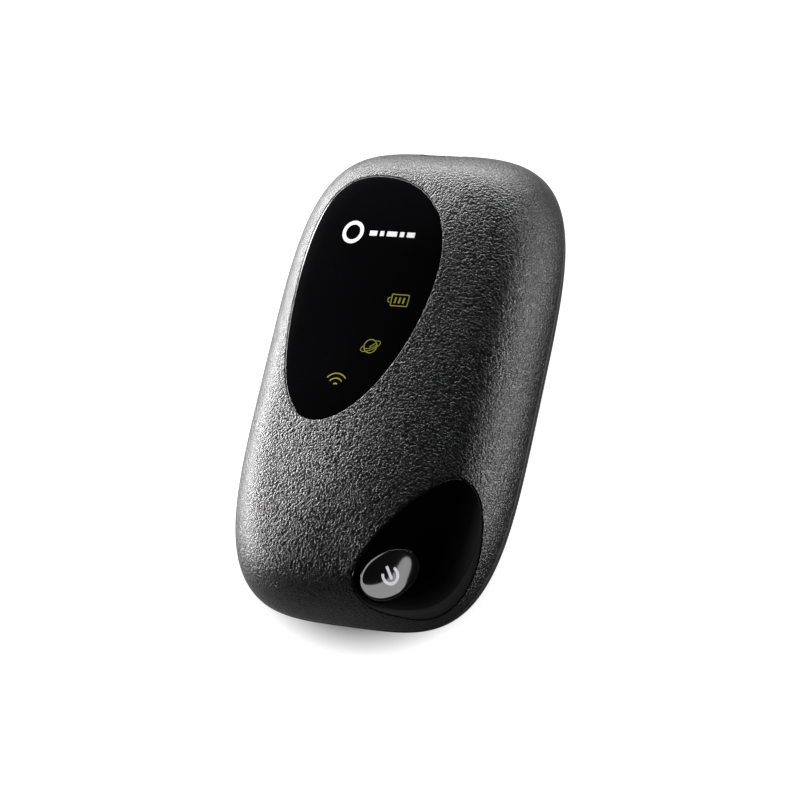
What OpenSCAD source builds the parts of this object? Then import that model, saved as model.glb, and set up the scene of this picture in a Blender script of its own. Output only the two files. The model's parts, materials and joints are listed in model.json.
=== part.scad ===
// Pocket mobile hotspot: a domed front cover with a gloss window and a gloss
// button panel, a removable back cover, and the frame, board, battery, aerials
// and card socket between them.
// +X is the width, +Y the length towards the window end, and +Z comes out of
// the front face. The device lies on its flat back, and the origin is the
// middle of that back.

/* [Body] */
// Width across the flanks
body_w = 56.7; // [54:0.1:70]
// Length from end to end
body_l = 94; // [90:0.5:120]
// Thickness from the back to the top of the dome
body_t = 19.8; // [18.5:0.1:24]
// Roundness of the outline: 2 is an ellipse, and more is squarer
outline_power = 3.9; // [3:0.1:6]
// Height of the front cover above the parting line
front_depth = 13.2; // [12.8:0.1:15]
// How far the front shoulder runs in from the flank
shoulder_run = 10; // [8:0.5:12]
// Fullness of the front shoulder: 2 is an ellipse
shoulder_power = 1.75; // [1.5:0.05:2.2]
// Rise of the crown above the shoulder
crown_rise = 1.6; // [0.8:0.1:2.4]
// How far the back edge runs in from the flank
back_run = 5.5; // [4:0.5:7]
// Fullness of the back edge
back_power = 1.9; // [1.5:0.05:2.4]
// Wall of the front cover
front_wall = 2.0; // [1.8:0.1:2.4]
// Wall of the back cover
back_wall = 1.4; // [1.1:0.1:1.8]

/* [Window and button panel] */
// Thickness of the gloss window and of the gloss panel
gloss_t = 1.0; // [0.8:0.05:1.2]
// Thickness of the adhesive under them
adhesive_t = 0.1; // [0.05:0.05:0.2]
// Width of the adhesive bands
adhesive_w = 2.4; // [1.5:0.1:3.5]
// Gap round the window and the panel
gloss_gap = 0.12; // [0.05:0.01:0.25]
// Length of the power button
button_l = 12.2; // [9:0.1:12.6]
// Width of the power button
button_w = 7.6; // [5:0.1:7.8]
// Turn of the button's length from the X axis
button_turn = 34; // [0:1:60]
// Gap round the button
button_gap = 0.25; // [0.2:0.05:0.5]
// Depth of the dish in the button's face
button_dish = 0.45; // [0.1:0.05:0.8]
// Travel of the button
button_travel = 0.4; // [0.2:0.05:0.6]

/* [Light pipes] */
// Diameter of a light pipe
pipe_d = 3.0; // [2:0.1:4]
// Gap round a light pipe
pipe_gap = 0.25; // [0.15:0.05:0.4]
// Wall of the baffle round the lamps
baffle_wall = 0.9; // [0.6:0.1:1.2]

/* [Frame and board] */
// Floor of the mid frame
frame_floor = 1.0; // [0.8:0.1:1.4]
// Wall of the battery bay
bay_wall = 1.2; // [0.8:0.1:1.5]
// Gap round the battery
bay_gap = 0.3; // [0.2:0.05:0.5]
// Height of the board above the frame's floor
board_lift = 1.4; // [1.4:0.1:1.8]
// Thickness of the board
board_t = 1.0; // [0.8:0.1:1.2]
// Diameter of a screw's shank
screw_d = 1.7; // [1.4:0.1:2]
// Diameter of a screw's head
screw_head_d = 3.2; // [2.8:0.1:3.4]
// Height of a screw's head
screw_head_h = 0.9; // [0.7:0.1:1.1]
// Diameter of a screw boss
boss_d = 4.2; // [3.8:0.1:4.6]
// Height of the screening cans
can_h = 1.8; // [1.5:0.1:2]
// Sheet of the screening cans
can_sheet = 0.2; // [0.15:0.05:0.3]

/* [Battery] */
// Room between the battery and each flank
battery_side = 8.35; // [8:0.05:10]
// Room between the battery and the button end
battery_low = 13; // [12.5:0.5:16]
// Room between the battery and the window end
battery_high = 29; // [29:0.5:34]
// Depth of the battery's contact cap
battery_cap_l = 2.9; // [2:0.1:4]
// Foam between the battery and the back cover
foam_t = 0.3; // [0.2:0.05:0.5]

/* [Card socket] */
// Length of the SIM card
sim_l = 25; // [25]
// Width of the SIM card
sim_w = 15; // [15]
// Thickness of the SIM card
sim_t = 0.76; // [0.76]
// Travel of the card out of its socket
sim_travel = 11; // [8:0.5:11]
// Gap round the card
sim_gap = 0.25; // [0.15:0.05:0.4]

/* [Hidden] */
$fn = 48;

// Body outline and heights
half_w = body_w / 2;
half_l = body_l / 2;
split_h = body_t - front_depth;
shoulder_h = front_depth - crown_rise;
outline_exp = 2 / outline_power;
outline_steps = 72;
shoulder_steps = 9;
crown_steps = 4;
ridge_w = 0.3;
skin = 0.01;
seam_gap = 0.15;

// Window edge: its top, right, bottom and left points from the top left corner
// of the body, and the lengths of the two handles at each
window_top = [19.85, -8.7];
window_right = [37.05, -26.9];
window_bottom = [18.35, -58.8];
window_left = [7.25, -30.5];
window_handles = [10.1, 11.3, 13.7, 10.1, 8.4, 13.7, 14.1, 9.2];
// Panel edge, in the same way from the bottom right corner of the body
panel_top = [-7.35, 27.45];
panel_right = [-2.75, 18];
panel_bottom = [-14.65, 1.95];
panel_left = [-24.1, 7.1];
panel_handles = [3.1, 6.5, 8.5, 7.8, 5.4, 4.7, 4.8, 4.5];
button_place = [-16.95, 8.4];
outline_points = 12;
window_corner = [-half_w, half_l];
panel_corner = [half_w, -half_l];
button_at = panel_corner + button_place;
gloss_seat = gloss_t + adhesive_t;

// Heights of the stack, from the back to the board
foam_z = back_wall;
battery_z = foam_z + foam_t + 0.2;
label_t = 0.1;
floor_z = split_h + 1.6;
battery_top = floor_z - 0.3;
floor_top = floor_z + frame_floor;
board_z = floor_top + board_lift;
board_top = board_z + board_t;
bay_low_z = back_wall + 2.4;

// Aerials
aerial_h = 2.2;
foil_t = 0.1;
foil_edge = 0.8;

// Insets of flat pieces from the outline
frame_inset = inset_at(front_wall, floor_top) + 0.2;
board_inset = inset_at(front_wall, board_top) + 0.4;
aerial_inset = inset_at(front_wall, board_top + aerial_h + foil_t) + 0.4;
clip_inset = front_wall + 0.15;
clip_t = 0.8;
clip_h = 1.0;
clip_w = 8;
wall_gap = 0.2;

// Battery bay
battery_x = half_w - battery_side;
battery_y0 = -half_l + battery_low;
battery_y1 = half_l - battery_high;
battery_mid = (battery_y0 + battery_y1) / 2;
battery_l = battery_y1 - battery_y0;
battery_round = 2;
pad_t = 0.1;
pad_w = 2.0;
pad_h = 2.6;
pad_pitch = 3.0;
pad_places = [for (i = [-1.5:1:1.5]) i * pad_pitch];
connector_w = 13;
connector_l = 2.8;
connector_gap = 0.4;
connector_z = battery_z + 2.4;
spring_reach = 0.3;
spring_w = 1.2;

// Screws
side_screw_x = half_w - 4.45;
frame_screw_places = [[side_screw_x, -8], [-side_screw_x, -8], [14, half_l - 5.7],
    [-14, half_l - 5.7], [-14, -half_l + 6.2], [button_at[0] + 4.75 + boss_d / 2, -half_l + 8.6]];
board_screw_places = [[18.5, battery_y1 + 2.9], [-18.5, battery_y1 + 2.9],
    [half_w - 7.85, -22], [-half_w + 7.85, -22]];
post_d = 3.4;
pilot_d = screw_d + 0.2;
boss_room = 0.4;
screw_bite = 4;

// Card socket, at the window end
sim_y0 = half_l - 23.8;
sim_y1 = sim_y0 + sim_w;
sim_z = floor_z + 0.75;
pocket_margin = 0.5;
cage_sheet = 0.25;
cage_end = 0.3 + cage_sheet;
// The socket stands near the corner, clear of the front wall
sim_x1 = min(half_w - 9.85, outline_x(inset_at(front_wall, board_z) + wall_gap,
    sim_y1 + sim_gap + cage_sheet) - cage_end);
sim_x0 = sim_x1 - sim_l;
cage_l = 13;
sim_spring_t = 0.15;
sim_pad_t = 0.04;

// USB port, at the window end
usb_w = 7.6;
usb_h = 2.6;
usb_l = 5.4;
usb_sheet = 0.3;
usb_z = board_z + 0.45;
usb_y1 = half_l - 2.9;
usb_y0 = usb_y1 - usb_l;
port_w = 8.8;
port_h = 3.7;

// Lamps and light pipes, from the top left corner of the body
lamp_places = [for (p = [[30.65, -34.2], [26.75, -43.2], [21.45, -50.6]]) window_corner + p];
lamp_size = [1.6, 0.9, 0.6];
pipe_top = body_t - gloss_seat - 0.45;
pipe_low = board_top + lamp_size[2] + 0.3;
pipe_bore = pipe_d + 2 * pipe_gap;
baffle_d = pipe_bore + 2 * baffle_wall;
baffle_top = board_top + 3.4;
collar_t = 0.8;
collar_d = pipe_d + 1.6;

// Power switch
switch_w = 4.4;
switch_h = 0.9;
// Under the button, clear of the front wall
switch_at = [button_at[0], max(button_at[1], switch_w / 2 + wall_gap / 2
    - outline_y(inset_at(front_wall, board_top + switch_h), button_at[0] + switch_w / 2))];
plunger_d = 1.9;
plunger_gap = 0.2;
button_low = board_top + 1.7;
flange_w = 0.7;
flange_t = 0.8;

// Reset button and its switch
reset_at = [-10, battery_y1 + 2.9];
reset_d = 2.0;
reset_gap = 0.2;
reset_flange_d = 3.0;
reset_travel = 0.25;
reset_switch_h = 0.5;

// Board parts: centre, width, length
baseband_box = [13.5, -3, 15, 22];
radio_box = [-half_w + 12.15, 8, 9.6, 20];
power_box = [-9.5, -21, 14, 16];
chip_t = 0.9;
thermal_t = can_h - can_sheet - chip_t;

// ---------- shared shapes ----------

function signed_power(v, e) = sign(v) * pow(abs(v), e);

// Half length of the outline at a place across it, and half width at a place along it
function outline_y(inset, x) = (half_l - inset)
    * pow(1 - pow(abs(x) / (half_w - inset), outline_power), 1 / outline_power);
function outline_x(inset, y) = (half_w - inset)
    * pow(1 - pow(abs(y) / (half_l - inset), outline_power), 1 / outline_power);

// Points of the body's outline, moved in by an inset
function outline(inset) = [for (i = [0:outline_steps - 1]) let (a = 360 * i / outline_steps)
    [(half_w - inset) * signed_power(cos(a), outline_exp),
     (half_l - inset) * signed_power(sin(a), outline_exp)]];

// Inset and height of the front surface, for a cavity that lies deeper by "inset"
function shoulder_ring(inset, a) = [
    inset + shoulder_run * (1 - pow(cos(a), 2 / shoulder_power)),
    split_h + (shoulder_h - inset) * pow(sin(a), 2 / shoulder_power)];
// Inset of that surface at a height on the shoulder
function inset_at(inset, z) = inset + shoulder_run * (1 - pow(
    sqrt(1 - pow((z - split_h) / (shoulder_h - inset), shoulder_power)), 2 / shoulder_power));
function crown_ring(inset, u) = [
    inset + shoulder_run + u * (half_w - inset - shoulder_run - ridge_w),
    body_t - inset - crown_rise * pow(1 - u, 2)];
function front_rings(inset, base_z) = concat([[inset, base_z]],
    [for (i = [0:shoulder_steps]) shoulder_ring(inset, 90 * i / shoulder_steps)],
    [for (i = [1:crown_steps]) crown_ring(inset, i / crown_steps)]);

// Inset and height of the back surface
function back_rings(inset, base_z) = concat([[inset, base_z]],
    [for (i = [0:shoulder_steps]) let (a = 90 * i / shoulder_steps)
        [inset + back_run * (1 - pow(cos(a), 2 / back_power)),
         split_h - (split_h - inset) * pow(sin(a), 2 / back_power)]]);

// One thin ring of a form, with its outer face at z
module ring(place, side) translate([0, 0, place[1] - (side > 0 ? skin : 0)])
    linear_extrude(skin) polygon(outline(place[0]));

// A solid through a list of rings: side is 1 for the front and -1 for the back
module loft(rings, side) for (i = [0:len(rings) - 2]) hull() {
    ring(rings[i], side);
    ring(rings[i + 1], side);
}

module front_form(inset, base_z = split_h) loft(front_rings(inset, base_z), 1);
module back_form(inset, base_z = split_h) loft(back_rings(inset, base_z), -1);

// The front moved straight down
module sunk_front(drop) translate([0, 0, -drop]) front_form(0);

// Points along one quarter of a closed curve, without its last point
function quarter(p0, h0, h1, p1) = [for (i = [0:outline_points - 1]) let (t = i / outline_points)
    pow(1 - t, 3) * p0 + 3 * pow(1 - t, 2) * t * (p0 + h0) + 3 * (1 - t) * t * t * (p1 + h1)
    + pow(t, 3) * p1];

// A closed curve through its top, right, bottom and left points
function closed_curve(top, right, bottom, left, h) = concat(
    quarter(top, [h[0], 0], [0, h[1]], right), quarter(right, [0, -h[2]], [h[3], 0], bottom),
    quarter(bottom, [-h[4], 0], [0, -h[5]], left), quarter(left, [0, h[6]], [-h[7], 0], top));

module window_outline() translate(window_corner)
    polygon(closed_curve(window_top, window_right, window_bottom, window_left, window_handles));
module panel_outline() translate(panel_corner)
    polygon(closed_curve(panel_top, panel_right, panel_bottom, panel_left, panel_handles));

// The button's outline, wider all round by "more"
module button_outline(more) translate(button_at) rotate(button_turn)
    scale([button_l / 2 + more, button_w / 2 + more]) circle(1, $fn = 64);

module rise(z0, z1) translate([0, 0, z0]) linear_extrude(z1 - z0) children();
module rod(d, z0, z1) translate([0, 0, z0]) cylinder(d = d, h = z1 - z0);
module box(x0, x1, y0, y1, z0, z1) translate([x0, y0, z0]) cube([x1 - x0, y1 - y0, z1 - z0]);
module each_at(places) for (p = places) translate([p[0], p[1], 0]) children();

module rounded_plate(w, l, r) {
    square([w - 2 * r, l], center = true);
    square([w, l - 2 * r], center = true);
    for (x = [-1, 1], y = [-1, 1]) translate([x * (w / 2 - r), y * (l / 2 - r)]) circle(r);
}

// ---------- shells and what shows ----------

module front_cover() color([0.13, 0.13, 0.14]) difference() {
    union() {
        difference() {
            front_form(0);
            front_form(front_wall, split_h - 1);
        }
        intersection() {
            each_at(frame_screw_places) rod(boss_d, floor_top, body_t);
            front_form(front_wall / 2);
        }
    }
    each_at(frame_screw_places) rod(pilot_d, floor_top - 1, floor_top + screw_bite);
    difference() {
        rise(split_h, body_t + 1) {
            window_outline();
            panel_outline();
        }
        sunk_front(gloss_seat);
    }
    rise(button_low - button_travel - 0.3, body_t + 1) button_outline(button_gap);
    each_at(lamp_places) rod(pipe_bore, board_top, body_t);
    translate([0, half_l, usb_z]) cube([port_w, 14, port_h], center = true);
}

// A sheet of the front between two drops, cut to an outline
module gloss_piece(drop_0, drop_1) intersection() {
    difference() {
        sunk_front(drop_0);
        sunk_front(drop_1);
    }
    rise(split_h, body_t + 1) children();
}

module display_window() color([0.03, 0.03, 0.03])
    gloss_piece(0, gloss_t) offset(delta = -gloss_gap) window_outline();

module window_adhesive() color([0.25, 0.25, 0.25])
    gloss_piece(gloss_t, gloss_seat) difference() {
        offset(delta = -gloss_gap) window_outline();
        offset(delta = -gloss_gap - adhesive_w) window_outline();
    }

module button_panel() color([0.03, 0.03, 0.03])
    gloss_piece(0, gloss_t) difference() {
        offset(delta = -gloss_gap) panel_outline();
        button_outline(button_gap);
    }

module panel_adhesive() color([0.25, 0.25, 0.25])
    gloss_piece(gloss_t, gloss_seat) difference() {
        offset(delta = -gloss_gap) panel_outline();
        offset(delta = adhesive_w / 3) button_outline(button_gap);
        difference() {
            offset(delta = -gloss_gap - adhesive_w) panel_outline();
            offset(delta = adhesive_w) button_outline(button_gap);
        }
    }

module power_button() color([0.06, 0.06, 0.06]) intersection() {
    difference() {
        union() {
            rise(button_low, body_t + 1) button_outline(0);
            intersection() {
                rise(button_low, button_low + flange_t) button_outline(flange_w);
                front_form(front_wall + 0.4);
            }
        }
        intersection() {
            rise(split_h, body_t + 1) button_outline(-0.7);
            difference() {
                sunk_front(-1);
                sunk_front(button_dish);
            }
        }
    }
    front_form(0);
}

module switch_plunger() color("dimgray") translate([switch_at[0], switch_at[1], 0])
    rod(plunger_d, board_top + 0.45, button_low);

module power_switch() color("silver") translate([switch_at[0], switch_at[1], 0]) difference() {
    translate([0, 0, board_top + switch_h / 2])
        cube([switch_w, switch_w, switch_h], center = true);
    rod(plunger_d + 2 * plunger_gap, board_top - 1, board_top + switch_h + 1);
}

module clip_ring() rise(split_h - 1.2, split_h + clip_h) difference() {
    polygon(outline(clip_inset));
    polygon(outline(clip_inset + clip_t));
}

module back_cover() color([0.16, 0.16, 0.17]) difference() {
    union() {
        difference() {
            back_form(0);
            back_form(back_wall, split_h + 1);
        }
        intersection() {
            clip_ring();
            union() {
                for (y = [14, -22]) translate([0, y, 0])
                    cube([2 * body_w, clip_w, 2 * body_t], center = true);
                cube([clip_w, 2 * body_l, 2 * body_t], center = true);
            }
        }
        intersection() {
            back_form(back_wall / 2);
            rise(back_wall / 2, split_h - 1.2) difference() {
                polygon(outline(back_wall / 2));
                polygon(outline(clip_inset + clip_t));
            }
        }
    }
    // Seam with the front cover
    rise(split_h - seam_gap, split_h + 2 * skin) difference() {
        polygon(outline(-1));
        polygon(outline(clip_inset));
    }
    // Nail notch on the left flank
    translate([-half_w, 0, split_h]) rotate([90, 0, 0]) cylinder(r = 0.9, h = 9, center = true);
}

module battery_foam() color([0.2, 0.2, 0.2]) translate([0, battery_mid, 0])
    rise(foam_z, foam_z + foam_t) rounded_plate(battery_x, battery_l / 2, battery_round);

// ---------- frame and board ----------

module mid_frame() color([0.1, 0.1, 0.1]) difference() {
    union() {
        rise(floor_z, floor_top) polygon(outline(frame_inset));
        intersection() {
            box(-battery_x - bay_gap - bay_wall, battery_x + bay_gap + bay_wall, battery_y0
                - bay_gap - bay_wall, battery_y1 + bay_gap + bay_wall, bay_low_z, floor_z);
            rise(bay_low_z - 1, floor_z + 1) polygon(outline(clip_inset + clip_t + wall_gap));
        }
        each_at(board_screw_places) rod(post_d, floor_top, board_z);
    }
    box(-battery_x - bay_gap, battery_x + bay_gap, battery_y0 - bay_gap, battery_y1 + bay_gap,
        bay_low_z - 1, floor_z);
    each_at(board_screw_places) rod(pilot_d, floor_z + 0.4, board_z + 1);
    each_at(frame_screw_places) rod(pilot_d + 0.3, floor_z - 1, floor_top + 1);
    box(-connector_w / 2 - connector_gap, connector_w / 2 + connector_gap,
        battery_y0 - bay_gap - connector_l - connector_gap - 0.4, battery_y0 - bay_gap + 0.01,
        bay_low_z - 1, floor_top + 1);
    box(sim_x1 - sim_l - sim_travel - pocket_margin, sim_x1 + pocket_margin + 0.4,
        sim_y0 - pocket_margin, sim_y0 + sim_w + pocket_margin, floor_z - 1, floor_top + 1);
    translate([reset_at[0], reset_at[1], 0]) rod(reset_d + 2 * reset_gap, floor_z - 1, board_z);
}

module info_label() color("white") translate([0, battery_mid, 0])
    rise(floor_z - label_t, floor_z) square([battery_x * 1.4, battery_l * 0.6], center = true);

module main_board() color([0.05, 0.3, 0.15]) difference() {
    rise(board_z, board_top) difference() {
        polygon(outline(board_inset));
        each_at(frame_screw_places) circle(d = boss_d + 2 * boss_room);
        translate([0, usb_y0 + usb_l / 2]) square([usb_w + 0.3, usb_l + 0.3], center = true);
    }
    each_at(board_screw_places) rod(screw_d + 0.5, board_z - 1, board_top + 1);
}

module screw(tip, neck, side) {
    rod(screw_d, min(tip, neck), max(tip, neck));
    rod(screw_head_d, min(neck, neck + side * screw_head_h), max(neck, neck + side * screw_head_h));
}

module frame_screws() color("silver") each_at(frame_screw_places) difference() {
    screw(floor_top + screw_bite - 0.5, floor_z, -1);
    cylinder(d = 1.3, h = 2 * (floor_z - screw_head_h + 0.4), center = true, $fn = 6);
}

module board_screws() color("silver") each_at(board_screw_places) difference() {
    screw(floor_z + 0.6, board_top, 1);
    rod(1.3, board_top + screw_head_h - 0.4, board_top + screw_head_h + 1, $fn = 6);
}

module usb_shell() color("silver") difference() {
    box(-usb_w / 2, usb_w / 2, usb_y0, usb_y1, usb_z - usb_h / 2, usb_z + usb_h / 2);
    box(-usb_w / 2 + usb_sheet, usb_w / 2 - usb_sheet, usb_y0 + 0.6, usb_y1 + 1,
        usb_z - usb_h / 2 + usb_sheet, usb_z + usb_h / 2 - usb_sheet);
}

module usb_tongue() color([0.1, 0.1, 0.1])
    box(-1.9, 1.9, usb_y0 + 0.6, usb_y1 - 0.9, usb_z - 0.1, usb_z + 0.5);

module usb_contacts() color("gold") for (i = [-2:2])
    box(i * 0.65 - 0.18, i * 0.65 + 0.18, usb_y0 + 0.9, usb_y1 - 1.2, usb_z - 0.2, usb_z - 0.1);

module can(place) difference() {
    translate([place[0], place[1], board_top + can_h / 2])
        cube([place[2], place[3], can_h], center = true);
    translate([place[0], place[1], board_top + can_h / 2 - can_sheet])
        cube([place[2] - 2 * can_sheet, place[3] - 2 * can_sheet, can_h], center = true);
}
module chip(place, w, l) translate([place[0], place[1], board_top + chip_t / 2])
    cube([w, l, chip_t], center = true);

module baseband_can() color("silver") can(baseband_box);
module radio_can() color("silver") can(radio_box);
module power_can() color("silver") can(power_box);
module processor_chip() color([0.1, 0.1, 0.1]) chip(baseband_box + [0, 4.5, 0, 0], 11, 10);
module memory_chip() color([0.1, 0.1, 0.1]) chip(baseband_box + [0, -5.5, 0, 0], 11, 8);
module radio_chip() color([0.1, 0.1, 0.1]) chip(radio_box + [0, 3, 0, 0], 6, 6);
module power_chip() color([0.1, 0.1, 0.1]) chip(power_box + [1, 2, 0, 0], 7, 7);
module thermal_pad() color("lightblue")
    translate([baseband_box[0], baseband_box[1] + 4.5, board_top + chip_t + thermal_t / 2])
        cube([9, 8, thermal_t], center = true);
module crystal_can() color("silver") translate([baseband_box[0], 13.5, board_top + 0.4])
    cube([3.2, 2.5, 0.8], center = true);

// Rows of small parts on the free strips of the board
component_rows = [[9, 16.5, 6, 2.2], [-half_w + 8.35, -7, 4, 2.2], [4, -18, 6, 2.2], [4, -21, 6, 2.2],
    [-8, 28, 8, 2.2]];
module board_components() color("tan") for (row = component_rows, i = [0:row[2] - 1])
    translate([row[0] + i * row[3], row[1], board_top + 0.25])
        cube([1.0, i % 2 == 0 ? 1.6 : 2.0, 0.5], center = true);

// ---------- lamps, switch, aerials ----------

module lamp(i) translate([lamp_places[i][0], lamp_places[i][1], board_top + lamp_size[2] / 2])
    cube(lamp_size, center = true);
module battery_lamp() color("khaki") lamp(0);
module internet_lamp() color("khaki") lamp(1);
module wifi_lamp() color("khaki") lamp(2);

module web(p, q) let (step = q - p) translate([p[0], p[1], board_top])
    rotate(atan2(step[1], step[0])) translate([0, -0.5, 0]) cube([norm(step), 1, 1.2]);

module light_baffle() color([0.08, 0.08, 0.08]) difference() {
    union() {
        each_at(lamp_places) rod(baffle_d, board_top, baffle_top);
        web(lamp_places[0], lamp_places[1]);
        web(lamp_places[1], lamp_places[2]);
    }
    each_at(lamp_places) rod(pipe_bore, board_top - 1, baffle_top + 1);
}

module light_pipe(i) color([0.9, 0.9, 0.85]) translate([lamp_places[i][0], lamp_places[i][1], 0]) {
    rod(pipe_d, pipe_low, pipe_top);
    rod(collar_d, baffle_top, baffle_top + collar_t);
}
module battery_light_pipe() light_pipe(0);
module internet_light_pipe() light_pipe(1);
module wifi_light_pipe() light_pipe(2);

main_aerial_box = [-18, 4, -half_l, -half_l + 13];
second_aerial_box = [6.5, 19, half_l - 13, half_l];
wifi_aerial_box = [-19, -6.5, half_l - 13, half_l];

module aerial_outline(area, more) difference() {
    intersection() {
        polygon(outline(aerial_inset + more));
        translate([area[0] + more, area[2] + more])
            square([area[1] - area[0] - 2 * more, area[3] - area[2] - 2 * more]);
    }
    each_at(frame_screw_places) circle(d = boss_d + 2 * boss_room + 2 * more);
}
module aerial_carrier(area) color([0.85, 0.85, 0.8])
    rise(board_top, board_top + aerial_h) aerial_outline(area, 0);
module aerial_foil(area) color("orange") difference() {
    rise(board_top + aerial_h, board_top + aerial_h + foil_t) aerial_outline(area, foil_edge);
    translate([(area[0] + area[1]) / 2, (area[2] + area[3]) / 2, board_top + aerial_h])
        cube([0.8, (area[3] - area[2]) / 2, 4 * foil_t], center = true);
}
module main_aerial_carrier() aerial_carrier(main_aerial_box);
module main_aerial_foil() aerial_foil(main_aerial_box);
module second_aerial_carrier() aerial_carrier(second_aerial_box);
module second_aerial_foil() aerial_foil(second_aerial_box);
module wifi_aerial_carrier() aerial_carrier(wifi_aerial_box);
module wifi_aerial_foil() aerial_foil(wifi_aerial_box);

// Two feed springs beside each aerial carrier
aerial_spring_places = [[-8, main_aerial_box[3] + 1.2], [-4, main_aerial_box[3] + 1.2],
    [10, second_aerial_box[2] - 1.2], [14, second_aerial_box[2] - 1.2],
    [-10, wifi_aerial_box[2] - 1.2], [-14, wifi_aerial_box[2] - 1.2]];
module aerial_springs() color("gold") each_at(aerial_spring_places) {
    box(-0.5, 0.5, -0.8, 0.8, board_top, board_top + 0.2);
    box(-0.5, 0.5, 0.6, 0.8, board_top + 0.2, board_top + 1.6);
    box(-0.5, 0.5, -0.8, 0.8, board_top + 1.6, board_top + 1.8);
}

// ---------- battery ----------

cap_y1 = battery_y0 + battery_cap_l;
module battery_cell() color([0.25, 0.25, 0.27])
    translate([0, (cap_y1 + battery_y1) / 2, 0]) rise(battery_z + label_t, battery_top)
        rounded_plate(2 * battery_x, battery_y1 - cap_y1, battery_round);

module battery_end_cap() color([0.08, 0.08, 0.08])
    box(-battery_x + 0.6, battery_x - 0.6, battery_y0 + pad_t, cap_y1,
        battery_z + label_t + 0.2, battery_top - 0.2);

module battery_pads() color("gold") for (x = pad_places)
    box(x - pad_w / 2, x + pad_w / 2, battery_y0, battery_y0 + pad_t,
        connector_z + 0.3, connector_z + 0.3 + pad_h);

module battery_label() color([0.8, 0.8, 0.82]) translate([0, battery_mid + battery_cap_l / 2, 0])
    rise(battery_z, battery_z + label_t)
        square([2 * battery_x - 5, battery_l - battery_cap_l - 5], center = true);

module battery_connector() color([0.1, 0.1, 0.1])
    box(-connector_w / 2, connector_w / 2, battery_y0 - connector_gap - connector_l,
        battery_y0 - connector_gap, connector_z, board_z);

module battery_springs() color("gold") for (x = pad_places)
    box(x - spring_w / 2, x + spring_w / 2, battery_y0 - connector_gap,
        battery_y0 - connector_gap + spring_reach, connector_z + 0.5, connector_z + pad_h);

// ---------- SIM card and its socket ----------

module sim_card() color("white") difference() {
    rise(sim_z, sim_z + sim_t) difference() {
        translate([sim_x0, sim_y0]) square([sim_l, sim_w]);
        translate([sim_x1, sim_y0]) rotate(45) square(4.2, center = true);
    }
}
module sim_pads() color("gold") for (i = [0:2], j = [0:1])
    box(sim_x1 - 11 + j * 6, sim_x1 - 7.5 + j * 6, sim_y0 + 3.6 + i * 2.7, sim_y0 + 5.8 + i * 2.7,
        sim_z + sim_t, sim_z + sim_t + sim_pad_t);

module sim_socket_base() color([0.1, 0.1, 0.1])
    box(sim_x1 - cage_l, sim_x1 + 0.3, sim_y0 - sim_gap, sim_y1 + sim_gap,
        sim_z + sim_t + 0.25, board_z);
module sim_springs() color("gold") for (i = [0:2], j = [0:1])
    box(sim_x1 - 10.2 + j * 6, sim_x1 - 8.2 + j * 6, sim_y0 + 4.3 + i * 2.7,
        sim_y0 + 5.1 + i * 2.7, sim_z + sim_t + 0.25 - sim_spring_t, sim_z + sim_t + 0.25);
module sim_socket_cage() color("silver") difference() {
    box(sim_x1 - cage_l, sim_x1 + cage_end, sim_y0 - sim_gap - cage_sheet,
        sim_y1 + sim_gap + cage_sheet, sim_z - sim_gap - cage_sheet, board_z);
    box(sim_x1 - cage_l - 1, sim_x1 + 0.3, sim_y0 - sim_gap, sim_y1 + sim_gap,
        sim_z - sim_gap, board_z + 1);
    box(sim_x1 - cage_l + 3, sim_x1 - 4, sim_y0 + 4, sim_y1 - 4, sim_z - 2, sim_z);
}

// ---------- reset button ----------

reset_low = floor_z - 0.1;
reset_high = board_z - reset_switch_h - 0.05;
module reset_button() color("dimgray") translate([reset_at[0], reset_at[1], 0]) {
    rod(reset_d, reset_low, reset_high - reset_travel);
    rod(reset_flange_d, floor_top + 0.05, floor_top + 0.35);
}
module reset_switch() color("silver") translate([reset_at[0], reset_at[1], 0])
    translate([0, 0, board_z - reset_switch_h / 2]) cube([2.6, 2.6, reset_switch_h], center = true);

front_cover();
display_window();
window_adhesive();
button_panel();
panel_adhesive();
power_button();
switch_plunger();
power_switch();
back_cover();
battery_foam();
mid_frame();
info_label();
main_board();
usb_shell();
usb_tongue();
usb_contacts();
baseband_can();
radio_can();
power_can();
processor_chip();
memory_chip();
radio_chip();
power_chip();
thermal_pad();
battery_lamp();
internet_lamp();
wifi_lamp();
light_baffle();
battery_light_pipe();
internet_light_pipe();
wifi_light_pipe();
main_aerial_carrier();
main_aerial_foil();
second_aerial_carrier();
second_aerial_foil();
wifi_aerial_carrier();
wifi_aerial_foil();
aerial_springs();
battery_cell();
battery_end_cap();
battery_pads();
battery_label();
battery_connector();
battery_springs();
sim_socket_base();
sim_socket_cage();
sim_springs();
sim_card();
sim_pads();
reset_button();
reset_switch();
crystal_can();
board_components();
frame_screws();
board_screws();
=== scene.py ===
# %% [markdown]
# # A pocket mobile hotspot
# This lesson dresses a working CAD model of a pocket hotspot: a small battery-powered box with a
# domed, grained front, a gloss lamp window and a gloss corner panel with a dished power button.
# The CAD model says where every piece is and how it moves. Blender gives the pieces their real
# surfaces. Sizes here are in millimetres and are turned into metres when a mesh is made.

# %% Load the frame
import json
import math

import bmesh
import bpy
import numpy as np
from mathutils import Matrix, Vector


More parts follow.
